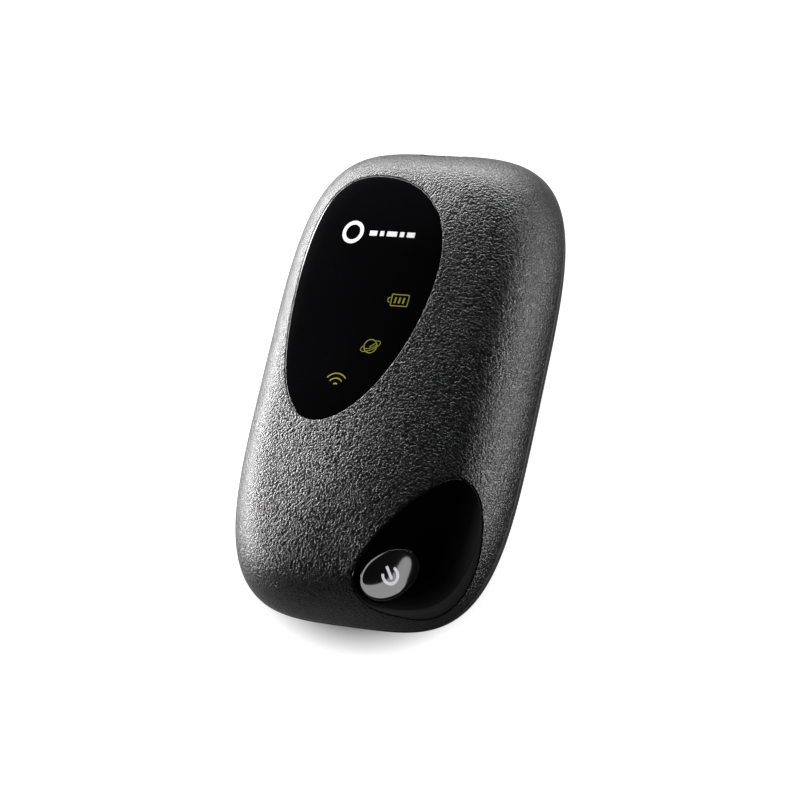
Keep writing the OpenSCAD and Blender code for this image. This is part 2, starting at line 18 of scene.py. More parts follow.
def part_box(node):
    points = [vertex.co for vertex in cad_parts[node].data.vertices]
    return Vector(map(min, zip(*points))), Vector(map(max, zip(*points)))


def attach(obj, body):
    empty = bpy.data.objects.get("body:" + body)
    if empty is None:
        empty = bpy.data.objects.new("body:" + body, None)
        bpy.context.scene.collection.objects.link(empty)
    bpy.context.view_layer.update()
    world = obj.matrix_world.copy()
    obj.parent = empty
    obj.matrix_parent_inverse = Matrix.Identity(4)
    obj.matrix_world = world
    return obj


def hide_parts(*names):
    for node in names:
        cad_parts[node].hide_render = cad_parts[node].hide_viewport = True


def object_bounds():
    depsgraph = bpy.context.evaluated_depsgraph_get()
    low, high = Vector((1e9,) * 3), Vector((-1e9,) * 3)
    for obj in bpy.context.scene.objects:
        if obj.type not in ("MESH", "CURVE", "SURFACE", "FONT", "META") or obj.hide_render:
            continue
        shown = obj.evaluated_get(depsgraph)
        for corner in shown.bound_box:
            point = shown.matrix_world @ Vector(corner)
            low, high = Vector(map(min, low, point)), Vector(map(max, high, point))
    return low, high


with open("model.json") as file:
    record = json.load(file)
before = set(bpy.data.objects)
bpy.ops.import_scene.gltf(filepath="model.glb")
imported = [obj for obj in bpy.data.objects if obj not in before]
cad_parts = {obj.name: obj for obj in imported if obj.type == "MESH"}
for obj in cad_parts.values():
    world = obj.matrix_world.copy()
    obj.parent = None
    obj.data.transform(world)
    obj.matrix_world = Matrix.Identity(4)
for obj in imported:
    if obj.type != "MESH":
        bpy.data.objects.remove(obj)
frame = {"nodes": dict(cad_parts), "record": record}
cad_low, cad_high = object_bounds()
MM = 0.001
print("CAD box in mm:", [round(c / MM, 2) for c in (*cad_low, *cad_high)])

# %% [markdown]
# ## The camera
# The device is seen from above its lower right corner with a long lens, which keeps its edges
# nearly parallel, and the camera is rolled so that the device lies across the picture. A camera
# looks along its own -Z axis, so the matrix below holds its right, up and back directions.

# %% Place the camera
CAMERA_AZIMUTH = math.radians(59.12)
CAMERA_ELEVATION = math.radians(59.36)
CAMERA_ROLL = math.radians(-49.96)
CAMERA_TARGET = Vector((2.18, -3.61, 10.0)) * MM
CAMERA_DISTANCE = 494.6 * MM
CAMERA_LENS = 118.67


def add_camera():
    back = Vector((math.sin(CAMERA_AZIMUTH) * math.cos(CAMERA_ELEVATION),
                   -math.cos(CAMERA_AZIMUTH) * math.cos(CAMERA_ELEVATION),
                   math.sin(CAMERA_ELEVATION)))
    level = Vector((0, 0, 1)).cross(back).normalized()
    lift = back.cross(level)
    right = level * math.cos(CAMERA_ROLL) + lift * math.sin(CAMERA_ROLL)
    up = lift * math.cos(CAMERA_ROLL) - level * math.sin(CAMERA_ROLL)
    camera = bpy.data.objects.new("camera", bpy.data.cameras.new("camera"))
    camera.data.lens = CAMERA_LENS
    camera.data.clip_start = 0.01
    place = Matrix.Identity(4)
    for column, direction in enumerate((right, up, back)):
        place.col[column][:3] = direction
    place.translation = CAMERA_TARGET + back * CAMERA_DISTANCE
    camera.matrix_world = place
    bpy.context.collection.objects.link(camera)
    bpy.context.scene.camera = camera


add_camera()

# %% [markdown]
# ## The body's rule
# Seen from above, the outline is a superellipse: an ellipse whose power is above 2, so its sides
# are flatter and its corners squarer. The front rises from the parting line in a full shoulder,
# then in a low crown to a short ridge. One rule gives the whole surface, so every piece that lies
# in it, such as the window, can ask for its height and match it exactly. The change from
# shoulder to crown is eased a little, so that no crease shows there.

# %% Sizes of the body
HALF_W = cad_high.x / MM
HALF_L = cad_high.y / MM
TOP_Z = cad_high.z / MM
SPLIT_Z = round(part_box("front_cover")[0].z / MM, 1)
OUTLINE_POWER = 3.9
SHOULDER_RUN = 10.0
SHOULDER_POWER = 1.75
CROWN_RISE = 1.6
BACK_RUN = 5.5
BACK_POWER = 1.9
FRONT_WALL = 2.0
BACK_WALL = 1.4
SEAM_GAP = 0.15
SHOULDER_H = TOP_Z - SPLIT_Z - CROWN_RISE
print("half sizes", HALF_W, HALF_L, "parting line at", SPLIT_Z)


# %% The outline, with evenly spaced points
def signed_power(value, power):
    return np.sign(value) * np.abs(value) ** power


def ring_points(angles, inset):
    """Points of the outline at these angles, moved in by an inset."""
    power = 2 / OUTLINE_POWER
    return np.stack([(HALF_W - inset) * signed_power(np.cos(angles), power),
                     (HALF_L - inset) * signed_power(np.sin(angles), power)], axis=-1)


def even_angles(count):
    """Angles at which the outline's points are evenly spaced, the same in all four quarters."""
    fine = np.linspace(0, np.pi / 2, 4001)
    steps = np.linalg.norm(np.diff(ring_points(fine, 0.0), axis=0), axis=1)
    along = np.concatenate([[0], np.cumsum(steps)]) / steps.sum()
    quarter = np.interp(np.linspace(0, 1, count // 4 + 1), along, fine)[:-1]
    return np.concatenate([quarter, np.pi - np.append(quarter, np.pi / 2)[:0:-1],
                           np.pi + quarter, 2 * np.pi - np.append(quarter, np.pi / 2)[:0:-1]])


RING_COUNT = 320
RING_ANGLES = even_angles(RING_COUNT)
print("outline points:", len(RING_ANGLES))


# %% The front surface
def front_profile(depth, shoulder_steps=36, crown_steps=40):
    """(inset, height) pairs up the front, for a surface that lies deeper by a depth."""
    a = np.linspace(0, np.pi / 2, shoulder_steps + 1)
    shoulder_in = depth + SHOULDER_RUN * (1 - np.maximum(np.cos(a), 0) ** (2 / SHOULDER_POWER))
    shoulder_z = SPLIT_Z + (SHOULDER_H - depth) * np.sin(a) ** (2 / SHOULDER_POWER)
    u = np.linspace(0, 1, crown_steps + 1)[1:]
    crown_in = depth + SHOULDER_RUN + u * (HALF_W - depth - SHOULDER_RUN - 0.08)
    crown_z = TOP_Z - depth - CROWN_RISE * (1 - u) ** 2
    return list(zip(np.append(shoulder_in, crown_in), np.append(shoulder_z, crown_z)))


def inset_of(x, y):
    """How far in from the outline each point lies, found by halving."""
    low = np.zeros(np.shape(x))
    high = np.full(np.shape(x), HALF_W - 1e-6)
    for _ in range(44):
        mid = (low + high) / 2
        inside = ((np.abs(x) / (HALF_W - mid)) ** OUTLINE_POWER
                  + (np.abs(y) / (HALF_L - mid)) ** OUTLINE_POWER) < 1
        low = np.where(inside, mid, low)
        high = np.where(inside, high, mid)
    return low


def plain_height(inset):
    """Height of the front surface at an inset, by the CAD model's rule."""
    cos_part = np.clip(1 - inset / SHOULDER_RUN, 0, 1) ** (SHOULDER_POWER / 2)
    shoulder = SPLIT_Z + SHOULDER_H * np.sqrt(1 - cos_part ** 2) ** (2 / SHOULDER_POWER)
    u = np.clip((inset - SHOULDER_RUN) / (HALF_W - SHOULDER_RUN), 0, 1)
    return np.where(inset < SHOULDER_RUN, shoulder, TOP_Z - CROWN_RISE * (1 - u) ** 2)


EASE_FROM = 5.5
EASE_OVER = 3.5


def eased_crown(blur=1.3, step=0.05):
    """A table of heights whose change from shoulder to crown is eased, as polishing does."""
    reach = np.arange(0, 2 * HALF_W + step / 2, step)
    z = plain_height(np.minimum(reach, 2 * HALF_W - reach))
    spread = np.arange(-4 * blur, 4 * blur + step / 2, step)
    weight = np.exp(-(spread / blur) ** 2 / 2)
    soft = np.convolve(np.pad(z, len(spread) // 2, mode="edge"), weight / weight.sum(), "valid")
    share = np.clip((reach - EASE_FROM) / EASE_OVER, 0, 1)
    share = share * share * (3 - 2 * share)
    return reach, z + (np.minimum(soft, TOP_Z) - z) * share


EASED = eased_crown()


def height_at(inset):
    return np.where(inset < EASE_FROM, plain_height(inset), np.interp(inset, *EASED))


def dome(x, y):
    """Height of the front surface over points in plan."""
    return height_at(inset_of(x, y))


crown_change = np.abs(height_at(EASED[0]) - plain_height(np.minimum(EASED[0], HALF_W)))
print("most that easing moves the surface:", round(float(crown_change[EASED[0] < HALF_W].max()), 3))
print("dome height at the middle:", float(dome(np.array(0.0), np.array(0.0))))

# %% [markdown]
# ## Making meshes
# A mesh here is a list of points in millimetres and a list of faces. Rings of points joined by
# four-sided faces make the smooth shells. Edges sharper than a set angle are marked sharp, so the
# shading stays smooth over the dome and crisp at its cut edges.

# %% Mesh helpers
SHARP_ANGLE = math.radians(32)


def mesh_object(name, points, faces, sharp=SHARP_ANGLE):
    """A new object from points in millimetres, with its sharp edges marked."""
    mesh = bpy.data.meshes.new(name)
    mesh.from_pydata([tuple(p) for p in np.asarray(points, float) * MM], [], faces)
    piece = bpy.data.objects.new(name, mesh)
    bpy.context.collection.objects.link(piece)
    finish_normals(piece, sharp)
    return piece


def finish_normals(piece, sharp=SHARP_ANGLE, merge=True):
    """Faces point outwards, and edges past the sharp angle are marked."""
    work = bmesh.new()
    work.from_mesh(piece.data)
    if merge:
        bmesh.ops.remove_doubles(work, verts=work.verts, dist=1e-7)
        bmesh.ops.recalc_face_normals(work, faces=work.faces)
    for face in work.faces:
        face.smooth = True
    for edge in work.edges:
        edge.smooth = len(edge.link_faces) == 2 and edge.calc_face_angle(0) < sharp
    work.to_mesh(piece.data)
    work.free()


def ring_faces(count, start_a, start_b):
    """Four-sided faces between two closed rings."""
    return [(start_a + i, start_a + (i + 1) % count, start_b + (i + 1) % count, start_b + i)
            for i in range(count)]


def mirror_cap(count, start):
    """Faces that close a ring whose two sides are mirror images, so its points pair up."""
    half, quarter = count // 2, count // 4
    across = [(start + i % count, start + (i + 1) % count,
               start + (half - i - 1) % count, start + (half - i) % count)
              for i in range(-quarter, quarter)]
    return [tuple(dict.fromkeys(face)) for face in across]


def lofted_shell(name, profile):
    """A closed solid through rings of the outline, one for each (inset, height) pair."""
    rings = [np.column_stack([ring_points(RING_ANGLES, inset), np.full(RING_COUNT, z)])
             for inset, z in profile]
    faces = []
    for i in range(len(rings) - 1):
        faces += ring_faces(RING_COUNT, i * RING_COUNT, (i + 1) * RING_COUNT)
    faces += mirror_cap(RING_COUNT, 0)
    faces += mirror_cap(RING_COUNT, (len(rings) - 1) * RING_COUNT)
    return mesh_object(name, np.concatenate(rings), faces)


# %% [markdown]
# ## Shapes that lie in the dome
# The window, the corner panel and the button are inlays: each is bounded by a smooth closed curve
# in plan, follows the dome on top and underneath, and has a small round along its top edge that
# catches the light. The curve is four Bezier quarters between its top, right, bottom and left
# points. The same builder, a little wider and deeper, makes the cutters for their pockets.

# %% Curves in plan
def bezier_quarter(p0, h0, h1, p1, steps=200):
    t = np.linspace(0, 1, steps, endpoint=False)[:, None]
    p0, p1 = np.array(p0, float), np.array(p1, float)
    a, b = p0 + h0, p1 + h1
    return (1 - t) ** 3 * p0 + 3 * (1 - t) ** 2 * t * a + 3 * (1 - t) * t ** 2 * b + t ** 3 * p1


def even_curve(points, count):
    """A closed curve's points, spaced evenly along it."""
    closed = np.vstack([points, points[:1]])
    along = np.concatenate([[0], np.cumsum(np.linalg.norm(np.diff(closed, axis=0), axis=1))])
    at = np.linspace(0, along[-1], count, endpoint=False)
    return np.column_stack([np.interp(at, along, closed[:, k]) for k in (0, 1)])


def four_point_curve(corner, top, right, bottom, left, h, count=360):
    """A closed curve through its top, right, bottom and left points, measured from a corner."""
    parts = [bezier_quarter(top, (h[0], 0), (0, h[1]), right),
             bezier_quarter(right, (0, -h[2]), (h[3], 0), bottom),
             bezier_quarter(bottom, (-h[4], 0), (0, -h[5]), left),
             bezier_quarter(left, (0, h[6]), (-h[7], 0), top)]
    return even_curve(np.vstack(parts) + corner, count)


def inward(curve, distance):
    """A closed clockwise curve moved inwards."""
    ahead = np.roll(curve, -1, axis=0) - np.roll(curve, 1, axis=0)
    ahead /= np.linalg.norm(ahead, axis=1)[:, None]
    return curve + distance * np.column_stack([ahead[:, 1], -ahead[:, 0]])


WINDOW_CORNER = np.array((-HALF_W, HALF_L))
PANEL_CORNER = np.array((HALF_W, -HALF_L))
window_edge = four_point_curve(WINDOW_CORNER, (19.85, -8.7), (37.05, -26.9), (18.35, -58.8),
                               (7.25, -30.5), (10.1, 11.3, 13.7, 10.1, 8.4, 13.7, 14.1, 9.2))
panel_edge = four_point_curve(PANEL_CORNER, (-7.35, 27.45), (-2.75, 18.0), (-14.65, 1.95),
                              (-24.1, 7.1), (3.1, 6.5, 8.5, 7.8, 5.4, 4.7, 4.8, 4.5))
BUTTON_AT = PANEL_CORNER + (-16.95, 8.4)
BUTTON_HALF = np.array((6.1, 3.8))
BUTTON_TURN = math.radians(34)
BUTTON_GAP = 0.25


def button_edge(more, count=360):
    """The button's oval, wider all round, clockwise and starting where the panel's curve does."""
    a = np.linspace(0, -2 * np.pi, 1440, endpoint=False)
    oval = np.column_stack([(BUTTON_HALF[0] + more) * np.cos(a),
                            (BUTTON_HALF[1] + more) * np.sin(a)])
    turn = np.array(((math.cos(BUTTON_TURN), math.sin(BUTTON_TURN)),
                     (-math.sin(BUTTON_TURN), math.cos(BUTTON_TURN))))
    return even_curve(oval @ turn + BUTTON_AT, count)


print("window spans", np.ptp(window_edge, axis=0).round(1), "panel", np.ptp(panel_edge, axis=0).round(1))


# %% Solids between two heights
def dome_down(drop):
    """A height rule: the front surface moved straight down."""
    return lambda flat: dome(flat[:, 0], flat[:, 1]) - drop


def level(z):
    """A height rule: a flat at z."""
    return lambda flat: np.full(len(flat), float(z))


def edge_round(radius, steps=6):
    """(distance in, drop) pairs from the top face round to the side."""
    angles = np.linspace(0, np.pi / 2, steps + 1)
    return [(radius * (1 - math.sin(a)), radius * (1 - math.cos(a))) for a in angles]


def plan_solid(name, edge, top, low, edge_steps=((0.0, 0.0),), rows=26, low_rows=None):
    """A closed solid bounded by a closed curve in plan, between two height rules."""
    centre, count = edge.mean(axis=0), len(edge)
    inner = inward(edge, edge_steps[0][0])
    loops = [(centre + (inner - centre) * share, top, edge_steps[0][1])
             for share in np.linspace(0, 1, rows + 1)[1:]]
    loops += [(inward(edge, step_in), top, drop) for step_in, drop in edge_steps[1:]]
    loops += [(centre + (edge - centre) * share, low, 0.0)
              for share in np.linspace(1, 0, (low_rows or rows) + 1)[:-1]]
    middle = centre[None, :]
    points = [np.append(centre, top(middle)[0] - edge_steps[0][1])]
    for flat, rule, drop in loops:
        points += list(np.column_stack([flat, rule(flat) - drop]))
    points.append(np.append(centre, low(middle)[0]))
    faces = [(0, 1 + i, 1 + (i + 1) % count) for i in range(count)]
    for k in range(len(loops) - 1):
        faces += ring_faces(count, 1 + k * count, 1 + (k + 1) * count)
    last = 1 + (len(loops) - 1) * count
    faces += [(len(points) - 1, last + (i + 1) % count, last + i) for i in range(count)]
    return mesh_object(name, points, faces)


# %% A solid with a hole
def by_bearing(curve, centre, bearings):
    """The points of a closed curve at these bearings from a centre inside it."""
    own = np.arctan2(curve[:, 1] - centre[1], curve[:, 0] - centre[0])
    reach = np.linalg.norm(curve - centre, axis=1)
    order = np.argsort(own)
    far = np.interp(bearings, own[order], reach[order], period=2 * np.pi)
    return centre + far[:, None] * np.column_stack([np.cos(bearings), np.sin(bearings)])


def holed_solid(name, edge, hole, top, low, radius, rows=24):
    """A plan solid with a hole, and both of its top edges rounded."""
    steps = edge_round(radius)
    centre = hole.mean(axis=0)
    ahead = np.diff(np.vstack([edge, edge[:1]]), axis=0) / 2 + edge - centre
    bearings = np.unwrap(np.arctan2(ahead[:, 1], ahead[:, 0]))
    outer = [by_bearing(inward(edge, step_in), centre, bearings) for step_in, _ in steps]
    inner = [by_bearing(inward(hole, -step_in), centre, bearings) for step_in, _ in steps]
    loops = [(flat, top, drop) for flat, (_, drop) in zip(outer[::-1], steps[::-1])]
    loops += [(outer[0] + (inner[0] - outer[0]) * share, top, 0.0)
              for share in np.linspace(0, 1, rows + 1)[1:]]
    loops += [(flat, top, drop) for flat, (_, drop) in zip(inner[1:], steps[1:])]
    loops += [(outer[-1] + (inner[-1] - outer[-1]) * share, low, 0.0)
              for share in np.linspace(1, 0, rows + 1)]
    points, faces, count = [], [], len(edge)
    for flat, rule, drop in loops:
        points += list(np.column_stack([flat, rule(flat) - drop]))
    for k in range(len(loops)):
        faces += ring_faces(count, k * count, (k + 1) % len(loops) * count)
    return mesh_object(name, points, faces)


# %% [markdown]
# ## Finishes
# Every material is made of nodes that read Object coordinates, so a pattern stays fixed to its
# piece. A small helper adds nodes and links them, which keeps each finish short enough to read.

# %% Material helpers
def new_material(name):
    material = bpy.data.materials.new(name)
    material.use_nodes = True
    tree = material.node_tree
    tree.nodes.clear()
    output = tree.nodes.new("ShaderNodeOutputMaterial")
    shader = tree.nodes.new("ShaderNodeBsdfPrincipled")
    tree.links.new(shader.outputs[0], output.inputs["Surface"])
    return material, tree, shader


def add(tree, kind, values=None, **settings):
    """A node with its settings, and its input values or the sockets that feed them."""
    node = tree.nodes.new(kind)
    for key, value in settings.items():
        setattr(node, key, value)
    for key, value in (values or {}).items():
        if isinstance(value, bpy.types.NodeSocket):
            tree.links.new(value, node.inputs[key])
        else:
            node.inputs[key].default_value = value
    return node


def ramp(tree, factor, stops):
    """A colour ramp through (place, grey or colour) stops."""
    node = add(tree, "ShaderNodeValToRGB", {"Fac": factor})
    elements = node.color_ramp.elements
    while len(elements) < len(stops):
        elements.new(0.5)
    for element, (place, value) in zip(elements, stops):
        element.position = place
        rgb = (value,) * 3 if isinstance(value, (int, float)) else value
        element.color = (*rgb, 1)
    return node.outputs["Color"]


def object_coordinates(tree):
    return add(tree, "ShaderNodeTexCoord").outputs["Object"]


def bump(tree, height, strength, distance_mm, normal=None):
    values = {"Height": height, "Strength": strength, "Distance": distance_mm * MM}
    if normal is not None:
        values["Normal"] = normal
    return add(tree, "ShaderNodeBump", values).outputs["Normal"]


# %% [markdown]
# ### Grained plastic
# The front cover is moulded in a tool with a spark-eroded leather grain: rounded cells under a
# millimetre across, split by fine creases, with a finer sparkle on top. Voronoi cells bent by
# noise give the cells, and a second, finer noise gives the sparkle. Both drive the bump. The cells
# also drive the colour as painted shade, darkest in the creases and painted lighter on the cell
# tops, and the sparkle drives the roughness.

# %% Grained plastic material
def grained_plastic(name, colour, cell_mm, depth_mm, roughness):
    material, tree, shader = new_material(name)
    place = object_coordinates(tree)
    bend = add(tree, "ShaderNodeTexNoise", {"Vector": place, "Scale": 0.7 / (cell_mm * MM),
                                            "Detail": 2.0}).outputs["Color"]
    push = add(tree, "ShaderNodeVectorMath", {0: bend, 1: (0.5, 0.5, 0.5)}, operation="SUBTRACT")
    push = add(tree, "ShaderNodeVectorMath", {0: push.outputs[0], "Scale": 0.5 * cell_mm * MM},
               operation="SCALE").outputs[0]
    moved = add(tree, "ShaderNodeVectorMath", {0: place, 1: push}, operation="ADD").outputs[0]
    cells = add(tree, "ShaderNodeTexVoronoi", {"Vector": moved, "Scale": 1 / (cell_mm * MM),
                                               "Smoothness": 0.1},
                feature="SMOOTH_F1").outputs["Distance"]
    sparkle = add(tree, "ShaderNodeTexNoise", {"Vector": place, "Scale": 2.2 / (cell_mm * MM),
                                               "Detail": 2.0, "Roughness": 0.6}).outputs["Fac"]
    pillow = ramp(tree, cells, [(0.0, 1.0), (0.35, 0.8), (0.75, 0.0)])
    height = add(tree, "ShaderNodeMath", {0: sparkle, 1: 0.9, 2: pillow},
                 operation="MULTIPLY_ADD").outputs[0]
    tree.links.new(bump(tree, height, 1.0, depth_mm), shader.inputs["Normal"])
    # Painted shade: the colour is darkest in the creases, and the cell tops are painted lighter.
    shade = [tuple(c * k for c in colour) for k in (0.15, 1.6)]
    tree.links.new(ramp(tree, pillow, [(0.1, shade[0]), (0.8, shade[1])]),
                   shader.inputs["Base Color"])
    tree.links.new(ramp(tree, sparkle, [(0.35, roughness + 0.1), (0.7, roughness - 0.1)]),
                   shader.inputs["Roughness"])
    return material


cover_finish = grained_plastic("grained_charcoal_plastic", (0.007, 0.007, 0.0075), 0.42, 0.076, 0.27)
back_finish = grained_plastic("fine_satin_plastic", (0.02, 0.02, 0.021), 0.30, 0.02, 0.45)


# %% [markdown]
# ### Gloss black
# The window and the panel are black acrylic, polished enough to mirror a lamp. Real ones are never
# perfectly clean, so a very faint, large noise moves the roughness and gives a very faint bump,
# and a second noise moves the colour a little.

# %% Gloss material
def gloss_black(name, colour, roughness):
    material, tree, shader = new_material(name)
    place = object_coordinates(tree)
    smear = add(tree, "ShaderNodeTexNoise", {"Vector": place, "Scale": 90.0, "Detail": 2.0})
    tree.links.new(ramp(tree, smear.outputs["Fac"], [(0.3, roughness * 0.7), (0.8, roughness * 1.6)]),
                   shader.inputs["Roughness"])
    tint = add(tree, "ShaderNodeTexNoise", {"Vector": place, "Scale": 40.0})
    tree.links.new(ramp(tree, tint.outputs["Fac"], [(0.3, tuple(c * 0.8 for c in colour)),
                                                    (0.7, tuple(c * 1.2 for c in colour))]),
                   shader.inputs["Base Color"])
    tree.links.new(bump(tree, smear.outputs["Fac"], 0.15, 0.01), shader.inputs["Normal"])
    shader.inputs["IOR"].default_value = 1.49
    return material


window_finish = gloss_black("gloss_black_acrylic", (0.0025, 0.0025, 0.003), 0.06)
button_finish = gloss_black("gloss_black_button", (0.004, 0.004, 0.0045), 0.07)


# %% [markdown]
# ### Everything else
# One small recipe serves the plain finishes inside: a colour that varies a little in patches, a
# roughness that varies with it and a fine bump. Metals get a higher Metallic value.

# %% Plain finishes
def plain_finish(name, colour, roughness, grain_mm=0.4, depth_mm=0.01, metallic=0.0, stretch=(1, 1, 1),
                 emission=0.0):
    material, tree, shader = new_material(name)
    scaled = add(tree, "ShaderNodeMapping", {"Vector": object_coordinates(tree), "Scale": stretch})
    patches = add(tree, "ShaderNodeTexNoise", {"Vector": scaled.outputs[0], "Detail": 4.0,
                                               "Scale": 0.25 / (grain_mm * MM)}).outputs["Fac"]
    fine = add(tree, "ShaderNodeTexNoise", {"Vector": scaled.outputs[0], "Detail": 2.0,
                                            "Scale": 1 / (grain_mm * MM)}).outputs["Fac"]
    tree.links.new(ramp(tree, patches, [(0.3, tuple(c * 0.85 for c in colour)),
                                        (0.7, tuple(min(1, c * 1.12) for c in colour))]),
                   shader.inputs["Base Color"])
    tree.links.new(ramp(tree, fine, [(0.3, max(0.03, roughness - 0.08)), (0.7, roughness + 0.08)]),
                   shader.inputs["Roughness"])
    tree.links.new(bump(tree, fine, 0.6, depth_mm), shader.inputs["Normal"])
    shader.inputs["Metallic"].default_value = metallic
    # An emission gives the floor its even glow, and gives the prints a painted glow.
    if emission:
        shader.inputs["Emission Color"].default_value = (*colour, 1)
        shader.inputs["Emission Strength"].default_value = emission
    return material


SLOT_FINISHES = {
    "adhesive": plain_finish("foam_tape", (0.1, 0.1, 0.1), 0.8, 0.15, 0.03),
    "inner_plastic": plain_finish("black_inner_plastic", (0.028, 0.028, 0.03), 0.5, 0.25, 0.02),
    "board_green": plain_finish("solder_mask", (0.012, 0.085, 0.045), 0.3, 0.5, 0.006),
    "sheet_steel": plain_finish("tinned_sheet", (0.62, 0.62, 0.64), 0.28, 0.3, 0.006, 1.0, (1, 8, 1)),
    "gold_contact": plain_finish("gold_flash", (0.92, 0.68, 0.3), 0.22, 0.2, 0.004, 1.0),
    "chip_black": plain_finish("moulded_chip", (0.02, 0.02, 0.022), 0.6, 0.15, 0.02),
    "thermal_grey": plain_finish("gap_filler", (0.3, 0.38, 0.46), 0.7, 0.5, 0.05),
    "lamp_yellow": plain_finish("lamp_resin", (0.8, 0.75, 0.35), 0.25, 0.4, 0.01),
    "clear_pipe": plain_finish("light_pipe_acrylic", (0.8, 0.8, 0.78), 0.15, 0.5, 0.004),
    "aerial_plastic": plain_finish("natural_plastic", (0.66, 0.64, 0.58), 0.5, 0.4, 0.02),
    "copper_foil": plain_finish("copper_foil", (0.85, 0.45, 0.26), 0.3, 0.3, 0.008, 1.0),
    "battery_shell": plain_finish("battery_wrap", (0.05, 0.05, 0.055), 0.38, 0.6, 0.01),
    "label_white": plain_finish("label_film", (0.62, 0.62, 0.6), 0.45, 0.5, 0.006),
    "foam_black": plain_finish("open_foam", (0.03, 0.03, 0.03), 0.9, 0.2, 0.12),
    "card_white": plain_finish("card_plastic", (0.75, 0.75, 0.73), 0.35, 0.5, 0.005),
    "grey_plastic": plain_finish("grey_plastic", (0.16, 0.16, 0.16), 0.5, 0.3, 0.02),
    "screw_steel": plain_finish("zinc_plate", (0.5, 0.5, 0.53), 0.35, 0.2, 0.01, 1.0),
    "ceramic": plain_finish("ceramic_parts", (0.42, 0.34, 0.24), 0.4, 0.2, 0.01),
    "textured_cover": cover_finish,
    "smooth_back": back_finish,
    "gloss_black": window_finish,
    "button_gloss": button_finish,
}
for part in frame["record"]["subparts"]:
    node = frame["nodes"][part["node"]]
    node.data.materials.clear()
    node.data.materials.append(SLOT_FINISHES[part["material_slot"]])
print("finishes:", len(SLOT_FINISHES))


def hand_over(piece, finish, body, slot, *nodes):
    """Gives a piece its finish and body, and hides the CAD nodes that it stands for; the slot is not used.
    """
    piece.data.materials.clear()
    piece.data.materials.append(finish)
    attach(piece, body)
    if nodes:
        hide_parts(*nodes)
    print(piece.name, len(piece.data.polygons), "faces")


# %% [markdown]
# ## The front cover
# The real cover is one moulding with a two millimetre wall, pockets for the window and the panel,
# a hole for the button, three for the light pipes, a port in its end and screw bosses inside. Its
# shell is a loft: rings of the outline from the crown down the outside, round the lip at the
# parting line and up the inside. The openings are then cut with Booleans. The pocket cutters flare
# where they cross the surface, which leaves the cover's edge softly rounded, as a mould does.

# %% Join or cut with a Boolean
def combine(piece, tool, operation="DIFFERENCE"):
    modifier = piece.modifiers.new("combine", "BOOLEAN")
    modifier.object = tool
    modifier.operation = operation
    modifier.solver = "MANIFOLD"
    graph = bpy.context.evaluated_depsgraph_get()
    result = bpy.data.meshes.new_from_object(piece.evaluated_get(graph))
    piece.modifiers.clear()
    old, piece.data = piece.data, result
    bpy.data.meshes.remove(old)
    bpy.data.objects.remove(tool)


def is_closed(piece):
    """Whether every edge of a piece joins exactly two faces."""
    work = bmesh.new()
    work.from_mesh(piece.data)
    closed = all(len(edge.link_faces) == 2 for edge in work.edges)
    work.free()
    return closed


def circle_edge(centre, radius, count=64):
    a = np.linspace(0, -2 * np.pi, count, endpoint=False)
    return np.array(centre) + radius * np.column_stack([np.cos(a), np.sin(a)])


# %% Loft the front shell
LIP_ROUND = 0.2
outer = [(inset, float(height_at(np.array(inset)))) for inset, _ in front_profile(0.0)[::-1]]
outer = [pair for pair in outer if pair[1] > SPLIT_Z + LIP_ROUND]
lip = [(LIP_ROUND * (1 - math.sin(a)), SPLIT_Z + LIP_ROUND * (1 - math.cos(a)))
       for a in np.linspace(np.pi / 2, 0, 6)]
front_cover = lofted_shell("front_shell", outer + lip + front_profile(FRONT_WALL, 14, 8))
print("front shell closed:", is_closed(front_cover))

# %% Add its screw bosses
BOSS_RADIUS = 2.1
PILOT_RADIUS = 0.95
POST_HEIGHT = 1.4
FLOOR_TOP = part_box("mid_frame")[1].z / MM - POST_HEIGHT
SCREW_PLACES = [(HALF_W - 4.45, -8), (-HALF_W + 4.45, -8), (14, HALF_L - 5.7), (-14, HALF_L - 5.7),
                (-14, -HALF_L + 6.2), (HALF_W - 10.1, -HALF_L + 8.6)]
for place in SCREW_PLACES:
    boss = plan_solid("boss", circle_edge(place, BOSS_RADIUS), dome_down(1.0), level(FLOOR_TOP),
                      rows=4, low_rows=1)
    combine(front_cover, boss, "UNION")
    combine(front_cover, plan_solid("pilot", circle_edge(place, PILOT_RADIUS, 32),
                                    level(FLOOR_TOP + 4), level(FLOOR_TOP - 1), rows=1))
print("bosses:", len(SCREW_PLACES))

# %% Cut its pockets, holes and port
POCKET_DEPTH = 1.1
EDGE_ROUND = 0.16
FLARE = [(-0.6, -0.6), (-EDGE_ROUND - 0.12, -0.03)]
FLARE += [(-EDGE_ROUND * (1 - math.sin(a)), EDGE_ROUND * (1 - math.cos(a)))
          for a in np.linspace(0.12, np.pi / 2, 6)]
for pocket_edge in (window_edge, panel_edge):
    combine(front_cover, plan_solid("pocket", pocket_edge, dome_down(0), dome_down(POCKET_DEPTH),
                                    FLARE, rows=20))
BUTTON_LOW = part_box("power_button")[0].z / MM
combine(front_cover, plan_solid("button_hole", button_edge(BUTTON_GAP, 128), level(TOP_Z + 1),
                                level(BUTTON_LOW - 0.7), rows=1))
PIPE_HOLE_RADIUS = 1.75
PIPE_PLACES = [[(low + high) / 2 / MM for low, high in zip(*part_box(node))][:2]
               for node in ("battery_light_pipe", "internet_light_pipe", "wifi_light_pipe")]
for place in PIPE_PLACES:
    combine(front_cover, plan_solid("pipe_hole", circle_edge(place, PIPE_HOLE_RADIUS, 48), level(TOP_Z + 1),
                                    level(FLOOR_TOP), rows=1))


def rounded_slot(width, height, radius, steps=8):
    """A rounded rectangle's points, clockwise."""
    points = []
    for x, y, start in ((1, 1, 90), (1, -1, 0), (-1, -1, -90), (-1, 1, -180)):
        for a in np.radians(np.linspace(start, start - 90, steps + 1)):
            points.append((x * (width / 2 - radius) + radius * math.cos(a),
                           y * (height / 2 - radius) + radius * math.sin(a)))
    return np.array(points)


